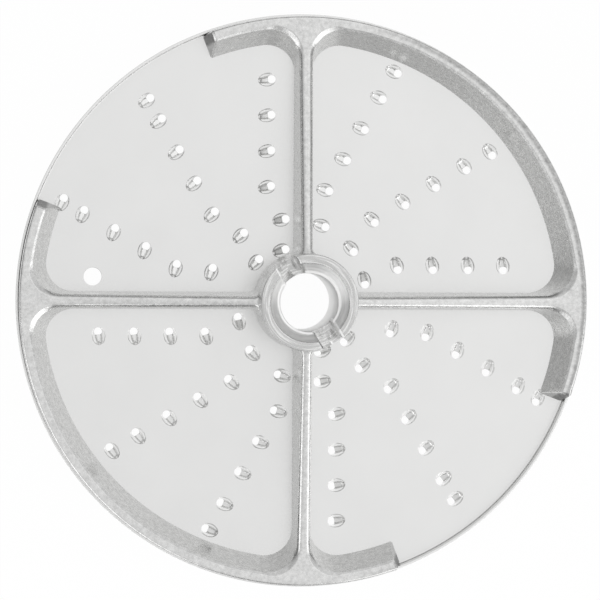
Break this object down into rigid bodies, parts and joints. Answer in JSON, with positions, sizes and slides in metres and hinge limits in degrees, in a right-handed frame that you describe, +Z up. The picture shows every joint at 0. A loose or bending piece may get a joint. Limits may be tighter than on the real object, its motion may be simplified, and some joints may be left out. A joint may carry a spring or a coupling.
{
  "type": "food processor grating disc",
  "caption": "Round grating disc for a food processor: a toothed sheet-steel plate held in a cast carrier with rim, spokes and a bored, slotted hub.",
  "frame": {"origin": "On the hub's axis, at the hub's lower end, which is the level the disc rests on when it is set down with its teeth underneath.", "axes": "+Z runs up the hub's axis towards its slotted end, away from the teeth. X and Y run along the spokes."},
  "size_m": [0.175, 0.175, 0.0325],
  "materials": {
    "plate_steel": "satin stainless sheet",
    "casting": "as-cast, lightly tumbled, with a turned bore"
  },
  "bodies": {
    "root": {"grating_plate": "plate_steel", "carrier": "casting"}
  },
  "joints": []
}
